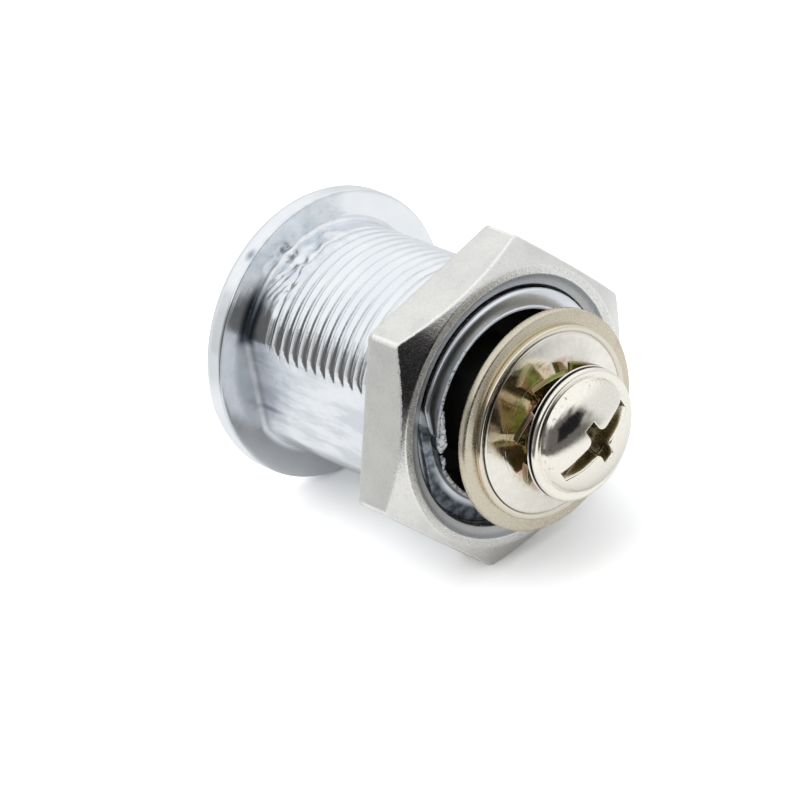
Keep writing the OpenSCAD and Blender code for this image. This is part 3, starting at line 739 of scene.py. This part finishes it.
def makeFlatWasher():
    w = washers
    top, e = w["flatFrom"] + w["flatT"], w["flatEdge"]
    outline = [(w["holeR"], w["flatFrom"] + 0.1), (w["holeR"] + 0.1, w["flatFrom"])]
    outline += arc(w["flatR"] - e, w["flatFrom"] + e, e, -90, 0, 5)
    outline += arc(w["flatR"] - e, top - e, e, 0, 90, 6)
    outline += [(w["holeR"] + 0.1, top), (w["holeR"], top - 0.1)]
    bm = bmesh.new()
    spinOutline(bm, outline, w["steps"])
    return finishMesh(bm, "flatWasherBody", [finishes["washer_warm"]], "plug", "flat_washer")


def dishHeight(r):
    # the curve's straight pieces are averaged over a short way, which rounds them
    w = washers
    return sum(between(w["dishCurve"], r + 0.07 * k)[0] for k in range(-4, 5)) / 9


def makeDishedWasher():
    w = washers
    low, t, e, count = w["dishFrom"], w["dishT"], w["dishEdge"], 72
    radii = [w["holeR"] + (w["dishR"] - e - w["holeR"]) * i / count for i in range(count + 1)]
    outline = [(r, low + dishHeight(r)) for r in radii]
    outline += arc(w["dishR"] - e, low + e, e, -90, 0, 4)[1:]
    outline += arc(w["dishR"] - e, low + t - e, e, 0, 90, 6)
    top = [(r, low + dishHeight(r) + t) for r in reversed(radii[:-1])]
    outline += [(r, y - w["lineDepth"] * max(0.0, 1 - abs(r - w["lineR"]) / 0.12)) for r, y in top]
    bm = bmesh.new()
    spinOutline(bm, outline, w["steps"])
    return finishMesh(bm, "dishedWasherBody", [finishes["washer_nickel"]], "plug",
                      "dished_washer", 50)


def makeStarWasher():
    # a flat ring of sheet, its teeth cut out and twisted, then given its thickness
    w = washers
    mid = w["starFrom"] + w["starTall"] / 2
    rows, perTooth = 14, 24
    outline = [(w["holeR"] + (w["starR"] - w["holeR"]) * i / rows, mid) for i in range(rows + 1)]
    bm = bmesh.new()
    spinOutline(bm, outline, w["starTeeth"] * perTooth, closed=False)

    def offTooth(co):
        # degrees from the middle of the nearest tooth
        pitch = perTurn / w["starTeeth"]
        return (rowAngle(co) + w["starTurn"] + pitch / 2) % pitch - pitch / 2

    gaps = [f for f in bm.faces if radius(f.calc_center_median()) > w["starRingR"] and
            abs(offTooth(f.calc_center_median())) > w["toothDeg"] / 2]
    bmesh.ops.delete(bm, geom=gaps, context="FACES")
    for v in bm.verts:
        r, off = radius(v.co), math.radians(offTooth(v.co))
        lift = smoothStep(w["starRingR"] - 0.2, w["starRingR"] + 0.5, r)
        v.co.y += math.tan(math.radians(w["twistDeg"])) * r * off * lift
    bmesh.ops.recalc_face_normals(bm, faces=bm.faces[:])
    bmesh.ops.solidify(bm, geom=bm.faces[:], thickness=w["starT"])
    middle = sum((v.co.y for v in bm.verts), 0.0) / len(bm.verts)
    bmesh.ops.translate(bm, vec=(0, mid - middle, 0), verts=bm.verts[:])
    bmesh.ops.recalc_face_normals(bm, faces=bm.faces[:])
    rim = [e for e in bm.edges if len(e.link_faces) == 2 and e.calc_face_angle() > math.radians(50) and
           min(radius(v.co) for v in e.verts) > w["holeR"] + 0.05]
    for f in softenEdges(bm, rim, w["starCut"]):
        f.material_index = 1
    return finishMesh(bm, "starWasherBody", [finishes["star_chromate"], finishes["bright_cut"]], "plug",
                      "star_washer", 40)


# Screw: collar, groove and dome, with a long slot crossed by two short arms

screw = {"steps": 360, "shankR": 2.5, "tip": 15.874, "headFrom": 25.874, "collarR": 5.0, "collarT": 0.7,
         "domeR": 4.2, "domeH": 1.7, "rings": 120, "slotL": 7.0, "slotW": 1.06, "slotEndW": 0.78,
         "slotDepth": 1.0, "crossL": 3.5, "crossW": 0.86, "crossDepth": 1.45, "lobeRound": 0.62, "wall": 0.11,
         "shift": 0.1, "turn": 22.0}


def recessDepth(x, z):
    # how deep the pressed recess is below the dome, from the distance to its outline
    s = screw
    a = math.radians(s["turn"])
    along = x * math.cos(a) - z * math.sin(a)
    across = x * math.sin(a) + z * math.cos(a) + s["shift"]

    def gapTo(length, width, u, v):
        # distance outside a bar with square ends, negative inside it
        du, dv = abs(u) - length / 2, abs(v) - width / 2
        return math.hypot(max(du, 0), max(dv, 0)) + min(max(du, dv), 0)

    slotW = s["slotW"] + (s["slotEndW"] - s["slotW"]) * smoothStep(1.8, 3.5, abs(along))
    gap = softMin(gapTo(s["slotL"], slotW, along, across), gapTo(s["crossL"], s["crossW"], across, along),
                  s["lobeRound"])
    r = math.hypot(along, across)
    depth = s["slotDepth"] + (s["crossDepth"] - s["slotDepth"]) * smoothStep(1.7, 0.4, r)
    depth *= 1 - 0.55 * smoothStep(1.7, 3.6, r)
    return depth * smoothStep(s["wall"], -s["wall"] * 1.6, gap)


def makeScrew():
    s = screw
    base = s["headFrom"] + s["collarT"]
    outline = [(0.0, s["tip"]), (s["shankR"] - 0.6, s["tip"]), (s["shankR"], s["tip"] + 0.6),
               (s["shankR"], s["headFrom"]), (s["collarR"] - 0.2, s["headFrom"])]
    outline += [(s["collarR"] - 0.04, s["headFrom"] + 0.03), (s["collarR"], s["headFrom"] + 0.08),
                (s["collarR"] - 0.02, s["headFrom"] + 0.13), (s["collarR"] - 0.22, s["headFrom"] + 0.17),
                (s["collarR"] - 0.22, s["headFrom"] + 0.36), (s["collarR"] - 0.08, s["headFrom"] + 0.40)]
    outline += arc(s["collarR"] - 0.28, base - 0.22, 0.22, 0, 90, 6)
    outline += [(s["domeR"] + 0.2, base), (s["domeR"] + 0.1, base - 0.05), (s["domeR"] + 0.02, base)]
    for i in range(1, s["rings"] + 1):
        r = s["domeR"] * (1 - i / s["rings"])
        outline.append((r, base + s["domeH"] * math.sqrt(max(0.0, 1 - (r / s["domeR"]) ** 2))))
    bm = bmesh.new()
    spinOutline(bm, outline, s["steps"], closed=False)
    for v in bm.verts:
        if v.co.y > base + 0.05 and radius(v.co) < s["domeR"]:
            v.co.y -= recessDepth(v.co.x, v.co.z)
    return finishMesh(bm, "screwBody", [finishes["screw_nickel"]], "plug", "screw", 60)


finishes = {"housing_chrome": makeChrome(), "nut_satin": makeNutSatin(), "plug_zinc": makeZinc(),
            "tumbler_brass": makeBrass(), "spring_wire": makeWire(), "washer_warm": makeWarmSatin(),
            "washer_nickel": makePolishedNickel(), "star_chromate": makeChromate(),
            "screw_nickel": makeScrewNickel(), "torn_plating": makeTornPlating(), "dark_cut": makeDarkCut(),
            "worn_edge": makeWornEdgeHighlight(), "bright_cut": makeBrightCut()}
print("finishes made")

makeHousing()
for stripName in flash["strips"]:
    makeFlashStrip(stripName)
print("housing made")
makeNut()
print("nut made")
makeFlatWasher()
makeDishedWasher()
makeStarWasher()
print("washers made")
makeScrew()
print("screw made")

# The solids have the same finishes as the pieces
for part in frame["record"]["subparts"]:
    node = frame["nodes"][part["node"]]
    node.data.materials.clear()
    node.data.materials.append(finishes[part["material_slot"]])
print("finishes on the solids")


# Floor, light and camera

studio = {"floorZ": -12.09, "floorY": 19.5, "pitchDeg": 2.4, "floorR": 160.0,
          "paper": 0.86, "white": 1.45, "glow": 0.04,
          "fadeFrom": 60.0, "fadeTo": 120.0, "mirrorFrom": 38.0, "mirrorTo": 60.0,
          "ceiling": tone(0.96, 0.97, 0.98), "wall": tone(0.76, 0.77, 0.78), "dim": tone(0.13, 0.125, 0.12),
          "dusk": tone(0.27, 0.265, 0.26), "dark": tone(0.012, 0.012, 0.014),
          # how far the borders of the mirrored room wander, in degrees
          "unevenSide": 40, "unevenHeight": 24,
          "lampPlace": (0.23, 0.02, 0.46), "lampAim": (0, 0.012, 0), "lampSize": (0.56, 0.56),
          "lampPower": 1.05}

# The camera: where it looks, how far off it stands and from which side, in millimetres and degrees
view = {"aim": (4.324, 12.025, 0.446), "away": 290.0, "azimuth": 52.3124, "elevation": 30.4078,
        "roll": -10.6751, "lens": 180, "sensor": 36}


def roomTone(g, side, height):
    # a bright ceiling and walls, a dim room on one side and the dark behind the camera
    s = studio
    color = g.mix(height.ramp(2, 38), s["wall"], s["ceiling"])
    foot = height - side.ramp(55, 105) * 9
    slant = side - height * 0.5
    dim = slant.ramp(-34, -14) * side.ramp(150, 118) * foot.ramp(-17, -9) * height.ramp(42, 26)
    dark = side.ramp(-24, -17) * side.ramp(33, 25) * height.ramp(-14, -12) * height.ramp(19, 12)
    shade = g.mix(side.ramp(60, 105), s["dim"], s["dusk"])
    return g.mix(dark, g.mix(dim, color, shade), s["dark"])


def makeFloor():
    s = studio
    bm = bmesh.new()
    bmesh.ops.create_circle(bm, cap_ends=True, segments=96, radius=s["floorR"] * mm)
    slope = Matrix.Rotation(-math.radians(s["pitchDeg"]), 4, "X")
    under = Matrix.Translation((0, s["floorY"] * mm, s["floorZ"] * mm))
    bmesh.ops.transform(bm, matrix=under @ slope, verts=bm.verts[:])
    mesh = bpy.data.meshes.new("floor")
    bm.to_mesh(mesh)
    bm.free()
    floor = bpy.data.objects.new("floor", mesh)
    bpy.context.scene.collection.objects.link(floor)
    f = Finish("paper")
    away = (f.x * f.x + (f.y - s["floorY"]) * (f.y - s["floorY"])) ** 0.5
    side = f.degrees("ARCTAN2", f.x, f.y)
    rays = {name: f.add("ShaderNodeLightPath", {}, {}, name) for name in ("Is Camera Ray", "Is Glossy Ray")}
    paper = f.add("ShaderNodeBsdfDiffuse", {}, {"Color": tone(s["paper"], s["paper"], s["paper"])})
    white = f.add("ShaderNodeEmission", {}, {"Color": tone(1, 1, 1), "Strength": 1.0})
    glow = f.add("ShaderNodeEmission", {}, {"Color": tone(1, 1, 1), "Strength": s["glow"]})
    pale = f.add("ShaderNodeBsdfDiffuse", {}, {"Color": tone(s["white"], s["white"], s["white"])})
    seen = f.add("ShaderNodeAddShader", {}, {0: pale, 1: glow})
    seen = f.blend(away.ramp(s["fadeFrom"], s["fadeTo"]), seen, white)
    dim = side.ramp(-34, -14) * side.ramp(120, 90)
    room = f.add("ShaderNodeEmission", {}, {"Color": f.mix(dim, s["wall"], s["dim"]), "Strength": 1.0})
    mirrored = f.blend(away.ramp(s["mirrorFrom"], s["mirrorTo"]), paper, room)
    surface = f.blend(rays["Is Glossy Ray"], paper, mirrored)
    surface = f.blend(rays["Is Camera Ray"], surface, seen)
    f.tree.links.new(surface.socket, f.tree.nodes["Material Output"].inputs["Surface"])
    mesh.materials.append(f.material)


def makeLamp():
    s = studio
    lamp = bpy.data.lights.new("ceilingPanel", "AREA")
    lamp.shape = "RECTANGLE"
    lamp.size, lamp.size_y = s["lampSize"]
    lamp.energy = s["lampPower"]
    panel = bpy.data.objects.new("ceilingPanel", lamp)
    bpy.context.scene.collection.objects.link(panel)
    panel.location = s["lampPlace"]
    panel.visible_glossy = False
    beam = Vector(s["lampAim"]) - Vector(s["lampPlace"])
    panel.rotation_euler = beam.to_track_quat("-Z", "Y").to_euler()


def makeWorld():
    s = studio
    world = bpy.data.worlds.new("studio")
    bpy.context.scene.world = world
    world.use_nodes = True
    g = Graph(world.node_tree)
    g.tree.nodes.clear()
    g.place = g.add("ShaderNodeTexCoord", {}, {}, "Generated")
    x, y, z = g.split(g.place)
    uneven = [g.add("ShaderNodeTexNoise", {}, {"Vector": g.place, "Scale": size, "Detail": 3.0}) - 0.5
              for size in (3.5, 5.0)]
    side, height = g.degrees("ARCTAN2", x, y), g.degrees("ARCSINE", z)
    side, height = side + uneven[0] * s["unevenSide"], height + uneven[1] * s["unevenHeight"]
    room = g.add("ShaderNodeBackground", {}, {"Color": roomTone(g, side, height), "Strength": 1.0})
    white = g.add("ShaderNodeBackground", {}, {"Color": tone(1, 1, 1), "Strength": 1.0})
    seen = g.add("ShaderNodeLightPath", {}, {}, "Is Camera Ray")
    g.add("ShaderNodeOutputWorld", {}, {"Surface": g.blend(seen, room, white)})


def makeCamera():
    v = view
    data = bpy.data.cameras.new("camera")
    data.lens = v["lens"]
    data.sensor_width = v["sensor"]
    data.clip_start = 0.01
    data.clip_end = 20
    camera = bpy.data.objects.new("camera", data)
    bpy.context.scene.collection.objects.link(camera)
    azimuth, elevation = math.radians(v["azimuth"]), math.radians(v["elevation"])
    back = Vector((math.cos(elevation) * math.cos(azimuth), math.cos(elevation) * math.sin(azimuth),
                   math.sin(elevation)))
    upright = back.to_track_quat("Z", "Y").to_matrix().to_4x4()
    place = (Vector(v["aim"]) + back * v["away"]) * mm
    tilt = Matrix.Rotation(math.radians(v["roll"]), 4, "Z")
    camera.matrix_world = Matrix.Translation(place) @ upright @ tilt
    bpy.context.scene.camera = camera


makeFloor()
makeWorld()
makeLamp()
makeCamera()
bpy.context.scene.view_settings.view_transform = "Standard"
print("stage set")
